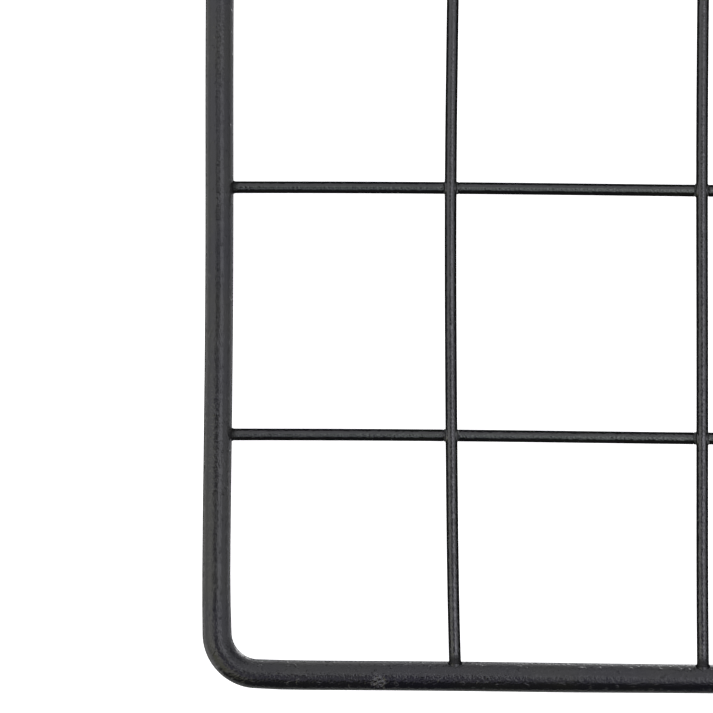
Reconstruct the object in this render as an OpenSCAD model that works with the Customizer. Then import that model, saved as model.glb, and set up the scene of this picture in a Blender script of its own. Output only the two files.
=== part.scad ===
// Framed wire mesh panel, lying on its back with its front side up.
// A round bar is bent to a rectangle and closed by a butt weld. A grid of thin wires fills it.
// The upright wires lie in front of the level ones and are spot welded to them at every crossing.
// All wires end on the inner side of the bar, each with a small ring of weld round its end.
// Sizes are in millimetres and over the coat. The origin is on the floor under the panel's centre.

/* [Panel] */

// outside width of the frame
panel_w = 400; // [300:5:500]
// outside height of the frame
panel_h = 600; // [450:5:800]

/* [Frame bar] */

// diameter of the frame bar
bar_d = 7.6; // [7:0.1:10]
// radius of each corner, at the centre of the bar
bend_r = 11; // [10:0.5:25]

/* [Wires] */

// diameter of the mesh wires
wire_d = 3.2; // [2.5:0.1:3.6]
// spacing of the upright wires
pitch_x = 66.9; // [50:0.1:90]
// spacing of the level wires
pitch_y = 66.2; // [50:0.1:90]

/* [Welds] */

// depth that crossing wires are pressed into each other
sink = 0.8; // [0.4:0.1:1.2]
// radius of the weld metal that fills the corners of a crossing
fillet_r = 0.5; // [0.3:0.05:0.8]
// how far the weld ring at a wire's end stands out from the wire
ring_t = 0.45; // [0.3:0.05:0.8]
// length of the ring's full-width collar, from the side of the bar along the wire
collar_l = 0.3; // [0.2:0.05:0.6]
// length over which the ring then narrows to the wire
taper_l = 1.2; // [0.6:0.1:2.5]

/* [Hidden] */

bar_fn = 40;
wire_fn = 32;

// the rectangle that the centre of the bar follows
loop_w = panel_w - bar_d;
loop_h = panel_h - bar_d;

// whole numbers of wires nearest to the spacings, with what is left over shared by the outer cells
uprights = round(loop_w / pitch_x) - 1;
levels = round(loop_h / pitch_y) - 1;

// heights of the centres: the bar on the floor, the two layers of wire evenly about its middle
bar_z = bar_d / 2;
layer_gap = wire_d - sink;
upright_z = bar_z + layer_gap / 2;
level_z = bar_z - layer_gap / 2;

// a disc of weld metal reaches past the wires' corners as far as a fillet of fillet_r would
spot_r = sqrt(2) * (wire_d / 2 + fillet_r) - fillet_r;
// it fills this share of the height where the two wires are pressed together
spot_share = 0.75;
spot_h = spot_share * sink;

// the weld ring's cone goes on past the wire's side, to half a ring's thickness inside the wire
ring_d = wire_d + 2 * ring_t;
cone_end_d = wire_d - ring_t;
cone_l = taper_l * (ring_d - cone_end_d) / (ring_d - wire_d);

function wire_place(i, count, pitch) = (i - (count - 1) / 2) * pitch;

// a round rod along Y, or along X
module rod_y(d, length, sides)
    rotate([90, 0, 0])
        cylinder(d = d, h = length, center = true, $fn = sides);

module rod_x(d, length, sides)
    rotate([0, 90, 0])
        cylinder(d = d, h = length, center = true, $fn = sides);

// the four straight lengths of the bar
module bar_sides() {
    for (side = [-1, 1]) {
        translate([side * loop_w / 2, 0, bar_z])
            rod_y(bar_d, loop_h - 2 * bend_r, bar_fn);
        translate([0, side * loop_h / 2, bar_z])
            rod_x(bar_d, loop_w - 2 * bend_r, bar_fn);
    }
}

// one rounded corner, from the positive X side round to the positive Y side
module bar_bend()
    translate([loop_w / 2 - bend_r, loop_h / 2 - bend_r, bar_z])
        rotate_extrude(angle = 90, $fn = bar_fn)
            translate([bend_r, 0])
                circle(d = bar_d);

module frame_bar()
    color("#2c2c2e")
        union() {
            bar_sides();
            bar_bend();
            mirror([1, 0, 0])
                bar_bend();
            mirror([0, 1, 0])
                bar_bend();
            mirror([1, 0, 0])
                mirror([0, 1, 0])
                    bar_bend();
        }

// weld metal round a wire's end, from the middle of the bar along +Z: a collar, then a cone down to the wire
module end_ring() {
    collar_end = bar_d / 2 + collar_l;
    cylinder(d = ring_d, h = collar_end, $fn = wire_fn);
    translate([0, 0, collar_end])
        cylinder(d1 = ring_d, d2 = cone_end_d, h = cone_l, $fn = wire_fn);
}

module upright_wire()
    translate([0, 0, upright_z]) {
        rod_y(wire_d, loop_h, wire_fn);
        for (side = [-1, 1])
            translate([0, side * loop_h / 2, 0])
                rotate([side * 90, 0, 0])
                    end_ring();
    }

module level_wire()
    translate([0, 0, level_z]) {
        rod_x(wire_d, loop_w, wire_fn);
        for (side = [-1, 1])
            translate([side * loop_w / 2, 0, 0])
                rotate([0, -side * 90, 0])
                    end_ring();
    }

// weld metal pressed out between two crossing wires
module spot_weld()
    translate([0, 0, bar_z])
        cylinder(r = spot_r, h = spot_h, center = true, $fn = wire_fn);

// the wires run into the bar and are then cut back to its round side, so that they seat on it
module wire_mesh()
    color("#262628")
        difference() {
            union() {
                for (i = [0 : uprights - 1])
                    translate([wire_place(i, uprights, pitch_x), 0, 0])
                        upright_wire();
                for (j = [0 : levels - 1])
                    translate([0, wire_place(j, levels, pitch_y), 0])
                        level_wire();
                for (i = [0 : uprights - 1])
                    for (j = [0 : levels - 1])
                        translate([wire_place(i, uprights, pitch_x), wire_place(j, levels, pitch_y), 0])
                            spot_weld();
            }
            bar_sides();
        }

frame_bar();
wire_mesh();
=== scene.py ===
# %% [markdown]
# # A framed panel of welded wire mesh
# This lesson dresses a imported CAD model in Blender. The panel is a shop display grid: a round steel bar is bent
# to a rectangle and closed by one weld, and a grid of thin wires is welded into it. All of it then gets a black
# powder coat. The panel lies on its back with its front side up, and the camera looks straight down on its lower
# left corner, as the photograph does.
# The CAD model is the fixed frame of the lesson. The pieces stay inside its box, so that box is read first.

# %% Load the frame
import math
import bmesh
import bpy
from mathutils import Matrix, Vector, noise


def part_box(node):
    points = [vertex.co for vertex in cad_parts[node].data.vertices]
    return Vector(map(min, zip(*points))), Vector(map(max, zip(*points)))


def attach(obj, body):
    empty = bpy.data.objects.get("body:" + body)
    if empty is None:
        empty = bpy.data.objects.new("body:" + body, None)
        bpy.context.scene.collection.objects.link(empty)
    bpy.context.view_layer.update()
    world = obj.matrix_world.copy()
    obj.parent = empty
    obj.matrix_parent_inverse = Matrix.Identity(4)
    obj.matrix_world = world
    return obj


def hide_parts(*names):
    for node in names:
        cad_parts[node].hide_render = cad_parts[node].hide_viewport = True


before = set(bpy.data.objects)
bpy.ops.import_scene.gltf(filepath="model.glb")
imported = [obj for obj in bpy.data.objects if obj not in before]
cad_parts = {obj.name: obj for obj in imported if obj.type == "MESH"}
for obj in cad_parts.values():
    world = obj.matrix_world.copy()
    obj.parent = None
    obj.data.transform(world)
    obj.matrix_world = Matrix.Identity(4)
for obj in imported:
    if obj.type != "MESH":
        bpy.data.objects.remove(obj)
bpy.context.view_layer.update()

MM = 0.001

# %% [markdown]
# ## The sizes that the pieces share
# The bar and the wires are round, so a diameter and a centre line say everything about them. The centre lines
# come from the CAD boxes, and only the wires' spacings are written again, because a box doesn't hold them.
# The bar is drawn a hair thinner than in CAD. Its welds and nibs then have room to stand out inside the box.

# %% Sizes and places
bar_lo, bar_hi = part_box("frame_bar")
BAR_R = 3.77 * MM
BEND_R = 11.0 * MM
WIRE_R = 1.6 * MM
loop_x = bar_hi.x - 3.8 * MM
loop_y = bar_hi.y - 3.8 * MM
BAR_Z = 3.8 * MM
UPRIGHT_Z = 5.0 * MM
LEVEL_Z = 2.6 * MM
upright_xs = [i * 66.9 * MM for i in (-2, -1, 0, 1, 2)]
level_ys = [(j - 3.5) * 66.2 * MM for j in range(8)]
print("uprights at", [round(x / MM, 1) for x in upright_xs], "levels at", [round(y / MM, 1) for y in level_ys])

# %% [markdown]
# ## How far a real panel is from straight
# A ruler laid along the bars in the photograph shows bows of about half a millimetre, and the upright nearest
# to the left was pushed sideways by more than a millimetre before its foot was welded. Such small errors are
# what makes the steel look like steel. A slow wave stands for each bow. The four bars bow inwards only, and what
# lies between two bars follows both of them, so that every wire's end stays on its bar.

# %% Bows and kicks
def slow_wave(place, depth, peak, reach):
    return depth * 0.5 * (1 + math.cos(2 * math.pi * (place - peak) / reach))

def panel_bow(point):
    left = slow_wave(point.y, 0.34 * MM, -196 * MM, 160 * MM)
    right = -slow_wave(point.y, 0.30 * MM, 40 * MM, 210 * MM)
    bottom = slow_wave(point.x, 0.54 * MM, -155 * MM, 220 * MM)
    top = -slow_wave(point.x, 0.40 * MM, 40 * MM, 260 * MM)
    to_right = min(1, max(0, 0.5 + point.x / (2 * loop_x)))
    to_top = min(1, max(0, 0.5 + point.y / (2 * loop_y)))
    return Vector((left + (right - left) * to_right, bottom + (top - bottom) * to_top, 0))

# each upright: depth, peak and reach of its own wave, then how far and from where its foot is kicked aside
UPRIGHT_BOWS = [
    (-0.50, -175, 150, 2.05, -190, 2.5),
    (-0.14, -160, 140, 1.15, -150, 2.2),
    (0.30, -90, 310, -0.50, -180, 2.0),
    (-0.35, 60, 280, 0.30, -170, 2.0),
    (0.25, 120, 340, -0.40, -160, 2.0),
]

def upright_sway(i, y):
    depth, peak, reach, kick, start, power = UPRIGHT_BOWS[i]
    foot = max(0, (start * MM - y) / (start * MM + loop_y))
    return slow_wave(y, depth * MM, peak * MM, reach * MM) + kick * MM * foot ** power

# each level wire: depth, peak and reach of its own wave
LEVEL_BOWS = [(-0.12, -90, 700), (0.04, -60, 240), (0.2, 30, 300), (-0.22, -40, 340), (0.18, 90, 260),
              (-0.14, 20, 310), (0.2, -70, 280), (-0.12, 60, 330)]

def level_sway(j, x):
    depth, peak, reach = LEVEL_BOWS[j]
    return slow_wave(x, depth * MM, peak * MM, reach * MM)

for x, y in ((-133.8, -289), (-133.8, -180), (-66.9, -289)):
    i = upright_xs.index(min(upright_xs, key=lambda u: abs(u - x * MM)))
    print("upright", i, "at y", y, "stands aside by", round(upright_sway(i, y * MM) / MM, 2), "mm")

# %% [markdown]
# ## A rod that is drawn ring by ring
# A wire could be a plain cylinder, but then it couldn't bow, swell at a weld or flare at its end. So a circle is
# made once, and then its edge is extruded and moved again and again, as wire is drawn through a die. Each new
# ring is moved to the rod's centre line and scaled to the half width and half height that the rod has there.
# Each vertex also keeps its place on the rod, as if the rod were straight, and how much the heat of a weld
# touched it. The coat reads both attributes: its streaks run along the steel, and it is rough where that was hot.

# %% Draw a rod
def add_copy(whole, part):
    shape = bpy.data.meshes.new("one_shape")
    part.to_mesh(shape)
    part.free()
    whole.from_mesh(shape)
    bpy.data.meshes.remove(shape)

def draw_rod(whole, stations, centre_at, radius_at, heat_at, sides, facing, number):
    bm = bmesh.new()
    own_place = bm.verts.layers.float_vector.new("rod_place")
    heat = bm.verts.layers.float.new("weld_heat")
    first = stations[0]
    turn = Vector((0, 0, 1)).rotation_difference(facing).to_matrix().to_4x4()
    place = Matrix.Translation(centre_at(first)) @ turn
    ring = bmesh.ops.create_circle(bm, segments=sides, radius=radius_at(first)[0], cap_ends=True, matrix=place)["verts"]
    edges = list({e for v in ring for e in v.link_edges})
    for v in ring:
        off = turn.inverted() @ (v.co - centre_at(first))
        v[own_place] = Vector((off.x + 0.05 * number, off.y, first))
        v[heat] = heat_at(first)
    for before, s in zip(stations, stations[1:]):
        grown = bmesh.ops.extrude_edge_only(bm, edges=edges)["geom"]
        ring = [g for g in grown if isinstance(g, bmesh.types.BMVert)]
        edges = [g for g in grown if isinstance(g, bmesh.types.BMEdge)]
        centre = centre_at(s)
        wider, higher = (now / last for now, last in zip(radius_at(s), radius_at(before)))
        bmesh.ops.translate(bm, vec=centre - centre_at(before), verts=ring)
        bmesh.ops.scale(bm, vec=(wider, wider, higher), space=Matrix.Translation(-centre), verts=ring)
        for v in ring:
            v[own_place].z = s
            v[heat] = heat_at(s)
    bmesh.ops.holes_fill(bm, edges=edges, sides=0)
    add_copy(whole, bm)

def finish_piece(bm, name):
    for v in bm.verts:
        v.co += panel_bow(v.co)
    bmesh.ops.recalc_face_normals(bm, faces=bm.faces)
    mesh = bpy.data.meshes.new(name)
    bm.to_mesh(mesh)
    bm.free()
    mesh.shade_smooth()
    piece = bpy.data.objects.new(name, mesh)
    bpy.context.collection.objects.link(piece)
    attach(piece, "root")
    print(name, "has", len(mesh.polygons), "faces")
    return piece

def stations_between(start, end, coarse, spots, fine, reach):
    places = {round(start, 7), round(end, 7)}
    count = math.ceil((end - start) / coarse)
    steps = [start + (end - start) * k / count for k in range(1, count)]
    places |= {round(s, 7) for s in steps if min(abs(s - p) for p in spots) > reach + coarse / 3}
    for p in spots:
        half = int(reach / fine)
        places |= {round(p + k * fine, 7) for k in range(-half, half + 1) if start < p + k * fine < end}
    return sorted(places)

# %% [markdown]
# ## The wires' ends
# Each wire is cut square, pressed against the bar and welded by the current that runs through it. The hot end
# softens and is squeezed out sideways over the bar's side. On the real panel this flare is under a millimetre long
# and rounds into the wire, so it is part of the wire's own width here, and not a ring put round it. Weld metal
# fills the corner above it, so the wire simply runs on into the bar, and no gap can open.

# %% Flares and heat
FLARE_FROM = 3.60 * MM
FLARE_L = 0.80 * MM
END_ROWS = (2.0, 2.5, 3.0, 3.25, 3.4, 3.5, 3.6, 3.65, 3.7, 3.77, 3.85, 3.95, 4.1, 4.3, 4.7, 5.3, 6.0)
SEAM = 1.84 * MM

def flare(from_bar_centre):
    out = (from_bar_centre - FLARE_FROM) / FLARE_L
    if out < 0:
        return 0.38 * MM * max(0, 1 + out / 0.25)
    round_off = 1 - math.sqrt(1 - (1 - min(1, out)) ** 2)
    return min(0.60 * MM * round_off, 0.38 * MM)

def upright_radius(y):
    sideways = flare(loop_y - abs(y))
    return WIRE_R + sideways, WIRE_R + 0.2 * sideways

def level_radius(x):
    sideways = flare(loop_x - abs(x))
    ridge = 0
    for i, u in enumerate(upright_xs):
        away = abs(x - u - 0.3 * upright_sway(i, 0))
        if away < 2.6 * MM:
            collar = 0.06 * MM if away < SEAM - 0.12 * MM else 0
            groove = -0.12 * MM if abs(away - SEAM) < 0.12 * MM else 0
            ridge = collar + groove
    return WIRE_R + sideways + ridge, WIRE_R + 0.2 * sideways + ridge

def end_heat(from_bar_centre, reach):
    outside = min(1, max(0, (3.8 * MM + reach - from_bar_centre) / (0.6 * reach)))
    inside = min(1, max(0.45, (from_bar_centre - 2.9 * MM) / (0.8 * MM)))
    return outside * inside

print("a flare is", round(flare(3.77 * MM) / MM, 2), "mm wide on each side of a wire, at the bar's side")

# %% Upright wires
bm = bmesh.new()
for i, x in enumerate(upright_xs):
    rows = stations_between(-loop_y + 7 * MM, loop_y - 7 * MM, 8 * MM, level_ys, 0.5 * MM, 3.0 * MM)
    for side in (-1, 1):
        rows += [side * (loop_y - d * MM) for d in END_ROWS]
    draw_rod(bm, sorted(set(rows)), lambda s: Vector((x + upright_sway(i, s), s, UPRIGHT_Z)), upright_radius,
             lambda s: end_heat(loop_y - abs(s), 2.6 * MM), 32, Vector((0, 1, 0)), 1 + i)
uprights = finish_piece(bm, "upright_wires")
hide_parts("wire_mesh")

# %% Level wires
bm = bmesh.new()
for j, y in enumerate(level_ys):
    rows = stations_between(-loop_x + 7 * MM, loop_x - 7 * MM, 8 * MM, upright_xs, 0.2 * MM, 2.6 * MM)
    for side in (-1, 1):
        rows += [side * (loop_x - d * MM) for d in END_ROWS]
    draw_rod(bm, sorted(set(rows)), lambda s: Vector((s, y + level_sway(j, s), LEVEL_Z)), level_radius,
             lambda s: end_heat(loop_x - abs(s), 1.2 * MM), 32, Vector((1, 0, 0)), 11 + j)
levels = finish_piece(bm, "level_wires")
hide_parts("wire_mesh")

# %% [markdown]
# ## The spot welds
# Two wires that cross are squeezed and heated until they sink into each other. The metal that is pressed out
# fills the four corners between them with small fillets. A fillet is the hollow corner of a plus sign, so a grid
# of three by three cells loses its corner cells and gets a thickness, and its four inner edges are then bevelled
# round. Its rim is rounded too. Two flat lenses, one across each wire, are the shoulders that the electrodes
# leave beside the crossing: in the photograph they make it a little square. A little noise makes every weld its own.

# %% Spot welds
FILLET_R = 0.45 * MM
ARM = 1.50 * MM
REACH = 1.98 * MM

def spot_weld(bm):
    made = bmesh.ops.create_grid(bm, x_segments=3, y_segments=3, size=1.5)["verts"]
    faces = list({f for v in made for f in v.link_faces})
    corners = [f for f in faces if abs(f.calc_center_median().x) > 0.6 and abs(f.calc_center_median().y) > 0.6]
    bmesh.ops.delete(bm, geom=corners, context="FACES")
    made = [v for v in made if v.is_valid]
    for v in made:
        v.co.x = math.copysign(REACH if abs(v.co.x) > 1 else ARM, v.co.x)
        v.co.y = math.copysign(REACH if abs(v.co.y) > 1 else ARM, v.co.y)
        v.co.z = -0.30 * MM
    faces = list({f for v in made for f in v.link_faces})
    lifted = bmesh.ops.extrude_face_region(bm, geom=faces)["geom"]
    top = [g for g in lifted if isinstance(g, bmesh.types.BMVert)]
    bmesh.ops.translate(bm, vec=(0, 0, 0.60 * MM), verts=top)
    body = list(set(made) | set(top))
    inner = [e for v in body for e in v.link_edges
             if abs(e.verts[0].co.z - e.verts[1].co.z) > 0.4 * MM
             and abs(abs(v.co.x) - ARM) < 1e-6 and abs(abs(v.co.y) - ARM) < 1e-6]
    bmesh.ops.bevel(bm, geom=list(set(inner)), offset=FILLET_R, offset_type="OFFSET", segments=5, profile=0.5,
                    affect="EDGES", material=-1)

# the metal that is pushed up on both sides of a wire: a flat lens, cut off square in line with the two wires
def shoulder(bm, height, turn):
    made = bmesh.ops.create_uvsphere(bm, u_segments=32, v_segments=20, radius=1.0)["verts"]
    for v in made:
        v.co = Vector((max(-1.61, min(1.61, v.co.x * 2.6)), max(-1.66, min(1.66, v.co.y * 2.9)), v.co.z * 1.5)) * MM
    bmesh.ops.rotate(bm, cent=(0, 0, 0), matrix=Matrix.Rotation(turn, 3, "Z"), verts=made)
    bmesh.ops.translate(bm, vec=(0, 0, height), verts=made)

bm = bmesh.new()
for i, x in enumerate(upright_xs):
    for j, y in enumerate(level_ys):
        one = bmesh.new()
        spot_weld(one)
        flat = [e for e in one.edges if len(e.link_faces) == 2 and e.calc_face_angle(0) > 1.2]
        bmesh.ops.bevel(one, geom=flat, offset=0.16 * MM, offset_type="OFFSET", segments=2, profile=0.5,
                        affect="EDGES", material=-1)
        bmesh.ops.recalc_face_normals(one, faces=one.faces)
        shoulder(one, 1.05 * MM, 0)
        shoulder(one, -1.05 * MM, math.pi / 2)
        centre = Vector((x + upright_sway(i, y), y + level_sway(j, x), BAR_Z))
        for v in one.verts:
            rough = noise.noise_vector((v.co + centre) * 1300) * 0.12 * MM
            v.co += centre + rough
        add_copy(bm, one)
welds = finish_piece(bm, "spot_welds")
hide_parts("wire_mesh")

# %% [markdown]
# ## The frame bar
# The bar is drawn in the same way as a wire, but it turns four corners. A bender swings the bar round a former,
# and the spin operator does the same to the last ring. The ring starts and ends at the closing weld in the
# bottom side, and the two ends are merged there. Round the weld the rings are close, so that the ground weld
# can be a little hollow and uneven. The place along the bar is counted from the start both ways round, so that
# both ends agree where they are merged.

# %% Frame bar
BAR_SIDES = 96
WELD_X = -152.7 * MM

def pull_along(bm, edges, drawn, start, end, steps):
    at = start
    for k in range(1, steps + 1):
        goal = start + (end - start) * k / steps
        grown = bmesh.ops.extrude_edge_only(bm, edges=edges)["geom"]
        ring = [g for g in grown if isinstance(g, bmesh.types.BMVert)]
        bmesh.ops.translate(bm, vec=goal - at, verts=ring)
        edges = [g for g in grown if isinstance(g, bmesh.types.BMEdge)]
        drawn += (goal - at).length
        for v in ring:
            v[own_place].z = drawn
        at = goal
    return edges, drawn

def turn_corner(bm, edges, drawn, corner):
    for k in range(20):
        turned = bmesh.ops.spin(bm, geom=edges, cent=corner, axis=(0, 0, 1), angle=math.pi / 40, steps=1)["geom_last"]
        drawn += BEND_R * math.pi / 40
        for v in (g for g in turned if isinstance(g, bmesh.types.BMVert)):
            v[own_place].z = drawn
        edges = [g for g in turned if isinstance(g, bmesh.types.BMEdge)]
    return edges, drawn

bm = bmesh.new()
own_place = bm.verts.layers.float_vector.new("rod_place")
heat = bm.verts.layers.float.new("weld_heat")
side_x, side_y = loop_x - BEND_R, loop_y - BEND_R
start = Vector((WELD_X - 7 * MM, -loop_y, BAR_Z))
ring = bmesh.ops.create_circle(bm, segments=BAR_SIDES, radius=BAR_R, cap_ends=False,
                               matrix=Matrix.Translation(start) @ Matrix.Rotation(math.pi / 2, 4, "Y"))["verts"]
edges = list({e for v in ring for e in v.link_edges})
for v in ring:
    v[own_place] = Vector((v.co.y + loop_y, v.co.z - BAR_Z, 0))
near_end = Vector((WELD_X + 9 * MM, -loop_y, BAR_Z))
edges, drawn = pull_along(bm, edges, 0.0, start, near_end, 80)
edges, drawn = pull_along(bm, edges, drawn, near_end, Vector((side_x, -loop_y, BAR_Z)), 42)
edges, drawn = turn_corner(bm, edges, drawn, Vector((side_x, -side_y, BAR_Z)))
edges, drawn = pull_along(bm, edges, drawn, Vector((loop_x, -side_y, BAR_Z)), Vector((loop_x, side_y, BAR_Z)), 72)
edges, drawn = turn_corner(bm, edges, drawn, Vector((side_x, side_y, BAR_Z)))
edges, drawn = pull_along(bm, edges, drawn, Vector((side_x, loop_y, BAR_Z)), Vector((-side_x, loop_y, BAR_Z)), 46)
edges, drawn = turn_corner(bm, edges, drawn, Vector((-side_x, side_y, BAR_Z)))
edges, drawn = pull_along(bm, edges, drawn, Vector((-loop_x, side_y, BAR_Z)), Vector((-loop_x, -side_y, BAR_Z)), 72)
edges, drawn = turn_corner(bm, edges, drawn, Vector((-side_x, -side_y, BAR_Z)))
edges, drawn = pull_along(bm, edges, drawn, Vector((-side_x, -loop_y, BAR_Z)), start, 4)
for v in bm.verts:
    v[own_place].z = min(v[own_place].z, drawn - v[own_place].z)
bmesh.ops.remove_doubles(bm, verts=bm.verts, dist=0.01 * MM)
print("open edges in the bar:", sum(e.is_boundary for e in bm.edges))

# %% [markdown]
# ## The closing weld
# The two ends of the bar meet in the bottom side and are welded and ground. The coat over the ground patch stays
# rough and pitted, and beside it the grinder's edge left one thin nick. The vertices near the weld are moved in
# and out by a noise that fades away from the patch's middle, and one ring of them is pressed in for the nick.

# %% Closing weld
WELD_MIDDLE = Vector((WELD_X, -loop_y - 1.75 * MM, BAR_Z + 3.34 * MM))
NICK_X = WELD_X - 3.8 * MM

moved = []
for v in bm.verts:
    away = v.co - WELD_MIDDLE
    reach = math.sqrt((away.x / 2.6) ** 2 + (away.y / 2.3) ** 2 + (away.z / 2.3) ** 2) / MM
    out = Vector((0, v.co.y + loop_y, v.co.z - BAR_Z)).normalized()
    if reach < 1:
        lump = noise.noise(v.co * 1500) + 0.4 * noise.noise(v.co * 3100)
        moved.append(min(1, 2.5 * (1 - reach)) * (lump * 0.62 - 0.08))
        v.co += out * moved[-1] * MM
        v[heat] = min(1, 2.5 * (1 - reach))
    elif abs(v.co.x - NICK_X) < 0.12 * MM and -0.92 < out.y < -0.38 and out.z > 0:
        v.co -= out * 0.14 * MM
    v.co.z = min(v.co.z, BAR_Z + BAR_R)
print(len(moved), "vertices of the weld moved by", round(min(moved), 2), "to", round(max(moved), 2), "mm")

# %% [markdown]
# ## Bends and the bottom side, as they came out
# A bend is never a clean quarter circle. The bar starts to turn before it reaches the former, so its centre line
# cuts the corner by nearly half a millimetre, and the squeezed section gets a little wider than round. The
# photograph shows both. It also shows the bottom side a little wider than the left side, mostly outwards, and
# the bottom side's own bow leaves room for that inside the CAD box.

# %% Ease the bends and widen the bottom side
def ease_bend(point):
    right, up = math.copysign(1, point.x), math.copysign(1, point.y)
    x, y = point.x * right - side_x, point.y * up - side_y
    if x > 0 and y > 0:
        turn, across = math.atan2(y, x), math.hypot(x, y) - BEND_R
        inward, along = Vector((-math.cos(turn), -math.sin(turn), 0)), BEND_R * abs(turn - math.pi / 4)
    elif x > 0:
        across, inward, along = x - BEND_R, Vector((-1, 0, 0)), BEND_R * math.pi / 4 - y
    else:
        across, inward, along = y - BEND_R, Vector((0, -1, 0)), BEND_R * math.pi / 4 - x
    share = math.exp(-(along / (14 * MM)) ** 2)
    step = inward * (0.45 * MM - 0.055 * across) * share
    return Vector((step.x * right, step.y * up, 0))

eased = 0
for v in bm.verts:
    below = -loop_y - v.co.y
    step = ease_bend(v.co)
    if abs(v.co.x) < side_x and v.co.y < 0:
        room = min(0.27 * MM, 0.95 * panel_bow(Vector((v.co.x, -loop_y, 0))).y)
        step.y -= (room if below > 0 else 0.10 * MM) * below / BAR_R * (1 - step.length / (0.45 * MM))
    v.co += step
    eased = max(eased, step.length)
print("the bends cut the corner by up to", round(eased / MM, 2), "mm")
bar = finish_piece(bm, "frame_ring")
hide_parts("frame_bar")

# %% [markdown]
# ## Spatter
# Drops of molten steel fly off a weld and freeze on the bar as little domes. They are spheres sunk more than
# half into the bar. Each has a place along the bottom side and an angle round the bar, from the top towards the
# front, and a radius. Nobody can see how deep a drop goes, so whole spheres are quicker than cut ones.

# %% Weld spatter
SPATTER = [(-153.9, 59, 0.42), (-151.0, 59, 0.42), (-148.1, 52, 0.46), (-160.1, 55, 0.34), (-145.2, 66, 0.30),
           (-77.2, 46, 0.40), (-75.7, 12, 0.30), (-75.1, 54, 0.42), (-70.8, 61, 0.36), (-143.6, -70, 0.36),
           (-84.5, 30, 0.22), (-66.0, 41, 0.24), (-157.4, 20, 0.20), (-149.3, 34, 0.22)]
bm = bmesh.new()
for x, angle, radius in SPATTER:
    a = math.radians(angle)
    depth = BAR_R - 0.45 * radius * MM
    seat = Vector((x * MM, -loop_y - math.sin(a) * depth, BAR_Z + math.cos(a) * depth))
    drop = bmesh.ops.create_icosphere(bm, subdivisions=3, radius=radius * MM, matrix=Matrix.Translation(seat))
    for v in drop["verts"]:
        v.co += noise.noise_vector(v.co * 2500) * 0.05 * MM
        v.co.z = min(v.co.z, BAR_Z + BAR_R)
spatter = finish_piece(bm, "weld_spatter")
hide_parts("frame_bar")

# %% [markdown]
# ## The black coat
# Powder coat is sprayed on dry and melted in an oven. It flows unevenly, which painters call orange peel, and on
# drawn steel the peel is longer along the bar than across it. So its noise reads the place on the rod, stretched.
# On top of the peel lies a finer grain in Object coordinates, and a few nibs, which are grains of powder that
# didn't melt: the same kind of noise, of which only the peaks are let through. Grain and nibs are stronger near
# the bottom of the panel, as in the photograph. Where a weld was hot the coat is lumpy. The black isn't quite
# even either: it drifts between a warm and a cool tone, and its gloss drifts too.

# %% Coat material
def powder_coat(name, cool, warm, gloss, density, layers, streaks, burnt):
    coat = bpy.data.materials.new(name)
    coat.use_nodes = True
    nodes, links = coat.node_tree.nodes, coat.node_tree.links
    shader = nodes["Principled BSDF"]
    shader.inputs["IOR"].default_value = density
    place = nodes.new("ShaderNodeTexCoord").outputs["Object"]
    along = place
    if streaks:
        own = nodes.new("ShaderNodeAttribute")
        own.attribute_name = "rod_place"
        stretch = nodes.new("ShaderNodeMapping")
        stretch.inputs["Scale"].default_value = (1, 1, 0.36)
        links.new(own.outputs["Vector"], stretch.inputs["Vector"])
        along = stretch.outputs["Vector"]

    def clouds(size, detail, source):
        n = nodes.new("ShaderNodeTexNoise")
        n.inputs["Scale"].default_value = 1 / (size * MM)
        n.inputs["Detail"].default_value = detail
        links.new(source, n.inputs["Vector"])
        return n.outputs["Fac"]

    def spread(source, low, high, to_low, to_high):
        m = nodes.new("ShaderNodeMapRange")
        for socket, value in (("From Min", low), ("From Max", high), ("To Min", to_low), ("To Max", to_high)):
            m.inputs[socket].default_value = value
        links.new(source, m.inputs["Value"])
        return m.outputs["Result"]

    def bumps(below, source, height, strength):
        bump = nodes.new("ShaderNodeBump")
        bump.inputs["Distance"].default_value = height * MM
        if strength:
            links.new(strength, bump.inputs["Strength"])
        else:
            bump.inputs["Strength"].default_value = 1.0
        links.new(source, bump.inputs["Height"])
        if below:
            links.new(below, bump.inputs["Normal"])
        return bump.outputs["Normal"]

    tone = nodes.new("ShaderNodeMix")
    tone.data_type = "RGBA"
    tone.inputs["A"].default_value = (*cool, 1)
    tone.inputs["B"].default_value = (*warm, 1)
    links.new(spread(clouds(22, 3, place), 0.38, 0.62, 0, 1), tone.inputs["Factor"])
    links.new(tone.outputs["Result"], shader.inputs["Base Color"])
    dull = spread(clouds(3.5, 2, along), 0.3, 0.7, gloss - 0.03, gloss + 0.08)
    parts = nodes.new("ShaderNodeSeparateXYZ")
    links.new(place, parts.inputs["Vector"])
    coarse_below = spread(parts.outputs["Y"], -0.25, -0.15, 1.0, 0.55)
    normal = None
    for height, size, detail, follows, above in layers:
        hills = clouds(size, detail, along if follows else place)
        if above:
            hills = spread(hills, above, above + 0.1, 0, 1)
        normal = bumps(normal, hills, height, None if follows else coarse_below)
    if burnt:
        extra_dull, relief, size, shine = burnt
        heat = nodes.new("ShaderNodeAttribute")
        heat.attribute_name = "weld_heat"
        normal = bumps(normal, clouds(size, 1, place), relief, heat.outputs["Fac"])
        more = nodes.new("ShaderNodeMath")
        more.operation = "MULTIPLY_ADD"
        more.inputs[1].default_value = extra_dull
        links.new(heat.outputs["Fac"], more.inputs[0])
        links.new(dull, more.inputs[2])
        dull = more.outputs["Value"]
        links.new(spread(heat.outputs["Fac"], 0, 1, 0.5, 0.5 + shine), shader.inputs["Specular IOR Level"])
    links.new(dull, shader.inputs["Roughness"])
    links.new(normal, shader.inputs["Normal"])
    return coat

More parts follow.
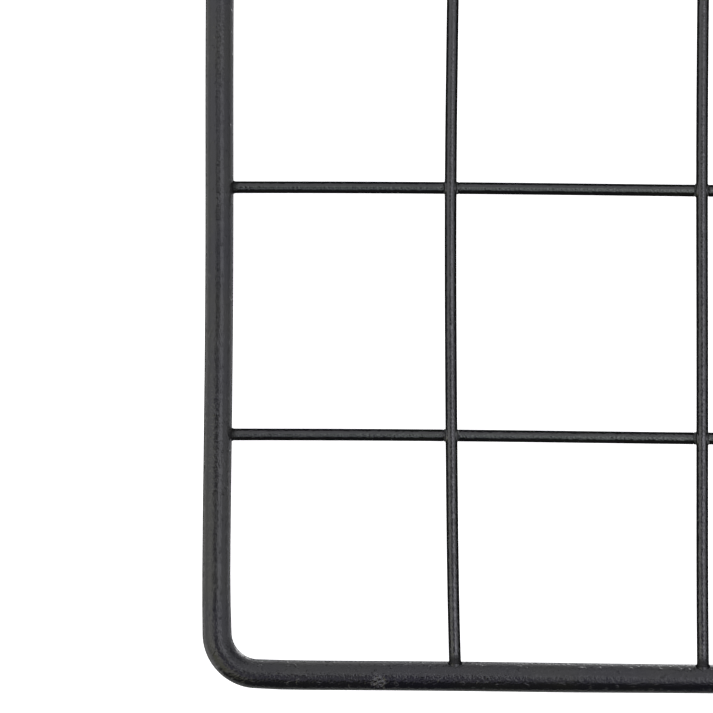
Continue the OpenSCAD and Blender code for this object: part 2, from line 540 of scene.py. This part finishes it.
# each layer of bumps: height and size in mm, detail, whether it runs along the steel, and the level that only
# nibs pass; then for hot places: how much duller, the height and size of the lumps, and how much shinier
bar_coat = powder_coat("bar_black_coat", (0.008, 0.008, 0.011), (0.012, 0.012, 0.010), 0.10, 1.5,
                       ((0.10, 2.6, 2, True, 0), (0.14, 0.60, 1, False, 0), (0.11, 1.4, 0, False, 0.68)), True,
                       (0.0, 1.00, 0.90, 0.45))
wire_coat = powder_coat("wire_black_coat", (0.005, 0.005, 0.006), (0.007, 0.007, 0.006), 0.10, 1.6,
                        ((0.06, 1.6, 2, True, 0), (0.15, 0.60, 1, False, 0)), True, (0.26, 0.20, 0.40, -0.30))
weld_coat = powder_coat("weld_black_coat", (0.006, 0.006, 0.007), (0.008, 0.008, 0.007), 0.20, 1.6,
                        ((0.16, 0.7, 2, False, 0), (0.03, 0.3, 1, False, 0)), False, None)
bar.data.materials.append(bar_coat)
uprights.data.materials.append(wire_coat)
levels.data.materials.append(wire_coat)
welds.data.materials.append(weld_coat)
spatter.data.materials.append(weld_coat)
print("coats:", bar_coat.name, wire_coat.name, weld_coat.name)

# %% [markdown]
# ## The studio
# The photograph has a pure white ground with no shadow, and yet the steel's edges are black. So the white floor
# and the backdrop are seen by the camera only, and what the steel mirrors is a dark room with softboxes in it.
# A round bar squeezes half the room into its width, so each pale band on it is one box. Two big boxes stand on
# the left and the right, one beyond the top of the picture, and a weaker one on this side of the camera. Between
# them is a gap, through which the camera looks, and a dim card fills its upper part. Four bounce cards under the
# panel stand for the pale table that the bar's flanks mirror.
# Wires and bar mirror the room at other angles, so a few boxes shine on some of the pieces only. That is light
# linking, and it is easier to steer than one bright room.

# %% Floor and backdrop
def white_ground(name, bm):
    mesh = bpy.data.meshes.new(name)
    bm.to_mesh(mesh)
    bm.free()
    ground = bpy.data.objects.new(name, mesh)
    bpy.context.collection.objects.link(ground)
    paint = bpy.data.materials.new(name + "_white")
    paint.use_nodes = True
    shader = paint.node_tree.nodes["Principled BSDF"]
    shader.inputs["Base Color"].default_value = (0.8, 0.8, 0.8, 1)
    shader.inputs["Roughness"].default_value = 0.9
    shader.inputs["Emission Color"].default_value = (1, 1, 1, 1)
    shader.inputs["Emission Strength"].default_value = 0.93
    mesh.materials.append(paint)
    ground.visible_glossy = False
    ground.visible_diffuse = False
    return ground

bm = bmesh.new()
bmesh.ops.create_grid(bm, x_segments=1, y_segments=1, size=15)
bmesh.ops.translate(bm, vec=(0, 0, -0.3 * MM), verts=bm.verts)
floor = white_ground("floor", bm)
bm = bmesh.new()
bmesh.ops.create_uvsphere(bm, u_segments=32, v_segments=16, radius=14)
bmesh.ops.reverse_faces(bm, faces=bm.faces)
backdrop = white_ground("backdrop", bm)
backdrop.visible_shadow = False
floor.visible_shadow = False

world = bpy.data.worlds.new("dark_room")
world.use_nodes = True
world.node_tree.nodes["Background"].inputs["Color"].default_value = (0.9, 0.92, 1.0, 1)
world.node_tree.nodes["Background"].inputs["Strength"].default_value = 0.03
bpy.context.scene.world = world

# %% Softboxes
PICTURE_X, PICTURE_Y = -159.03 * MM, -210.40 * MM
target = Vector((PICTURE_X, PICTURE_Y, BAR_Z))

def softbox(name, towards, far, wide, long, glow, tint=(1, 1, 1), only=()):
    lamp = bpy.data.lights.new(name, "AREA")
    lamp.shape = "RECTANGLE"
    lamp.size, lamp.size_y = wide, long
    lamp.energy = glow * math.pi * wide * long
    lamp.color = tint
    box = bpy.data.objects.new(name, lamp)
    bpy.context.collection.objects.link(box)
    box.location = target + towards.normalized() * far
    back = towards.normalized()
    along = (Vector((0, 1, 0)) - back * back.y).normalized()
    box.rotation_mode = "QUATERNION"
    box.rotation_quaternion = Matrix((along.cross(back), along, back)).transposed().to_quaternion()
    box.visible_camera = False
    if only:
        lit = bpy.data.collections.new(name + "_lights")
        for piece in only:
            lit.objects.link(piece)
        box.light_linking.receiver_collection = lit
    return box

def leaning(degrees, sideways):
    a = math.radians(degrees)
    return Vector((math.sin(a), 0, math.cos(a))) if sideways else Vector((0, math.sin(a), math.cos(a)))

softbox("right_softbox", Vector((0.67, -0.18, 0.74)), 1.4, 1.75, 1.35, 1.0, (1.0, 1.0, 1.08))
softbox("right_strip", Vector((0.355, -0.113, 0.928)), 1.5, 0.80, 0.78, 1.15, (1.0, 1.0, 1.09))
softbox("upright_strip", Vector((0.463, -0.273, 0.84)), 1.5, 0.66, 1.12, 1.15, (1.02, 1.0, 1.15), only=(uprights,))
softbox("left_softbox", Vector((-0.79, 0.15, 0.61)), 1.4, 1.25, 1.45, 1.3, (1.0, 1.0, 1.05))
softbox("top_softbox", leaning(41, False), 1.5, 1.1, 2.1, 1.02, (1.0, 1.0, 1.07))
softbox("corner_softbox", Vector((0.53, 0.56, 0.64)), 1.3, 0.80, 0.80, 0.75, (1.0, 1.0, 1.06))
softbox("near_softbox", Vector((-0.253, -0.45, 0.856)), 1.5, 1.02, 0.85, 0.46, (1.05, 0.97, 1.40))
softbox("gap_card", Vector((-0.26, 0.157, 0.953)), 1.5, 0.86, 0.50, 0.68, (1.0, 1.0, 1.03), only=(bar, uprights, spatter))
softbox("zenith_card", Vector((0.0, -0.07, 1.0)), 1.5, 0.24, 0.30, 0.36, (1.0, 1.0, 1.1), only=(bar, spatter))
softbox("drop_card", Vector((0.0, -0.15, 1.0)), 1.5, 0.7, 0.7, 2.2, only=(spatter,))
softbox("near_left_softbox", Vector((-0.637, -0.515, 0.574)), 1.3, 1.15, 1.1, 0.95, (1.0, 1.0, 0.70))
softbox("level_strip", Vector((0.18, -0.16, 0.97)), 1.5, 0.72, 1.85, 0.92, (0.86, 1.0, 0.86), only=(levels, welds))
softbox("left_bounce", leaning(-106, True), 1.2, 1.36, 2.4, 1.0, (1.0, 1.0, 0.98), only=(bar, spatter))
softbox("right_bounce", leaning(112, True), 1.2, 1.9, 3.0, 0.75, (1.0, 1.0, 1.05), only=(bar, spatter))
softbox("top_bounce", leaning(115, False), 1.2, 2.0, 1.9, 1.0, (1.0, 1.0, 1.03), only=(bar, spatter))
softbox("bottom_bounce", leaning(-135, False), 1.2, 2.0, 1.2, 0.36, (0.98, 1.0, 0.98), only=(bar, spatter))
softbox("corner_bounce", Vector((0.40, 0.47, -0.79)), 1.2, 0.6, 0.7, 2.4, only=(bar,))

# %% [markdown]
# ## The camera
# The picture is about 191 mm wide on the panel. A long lens from a metre away looks straight down, and it is
# turned by a third of a degree, because the left bar in the photograph leans by that much.

# %% Camera
PICTURE_WIDE = 713 / 3.7377 * MM
lens = bpy.data.cameras.new("long_lens")
lens.lens = 200
lens.sensor_width = 36
camera = bpy.data.objects.new("camera", lens)
bpy.context.collection.objects.link(camera)
distance = PICTURE_WIDE / 36 * 200
camera.location = (PICTURE_X, PICTURE_Y, BAR_Z + distance)
camera.rotation_euler = (0, 0, math.radians(0.35))
lens.clip_start, lens.clip_end = 0.01, 200
bpy.context.scene.camera = camera
bpy.context.scene.view_settings.view_transform = "Standard"
print("camera", round(distance, 3), "m above the panel")
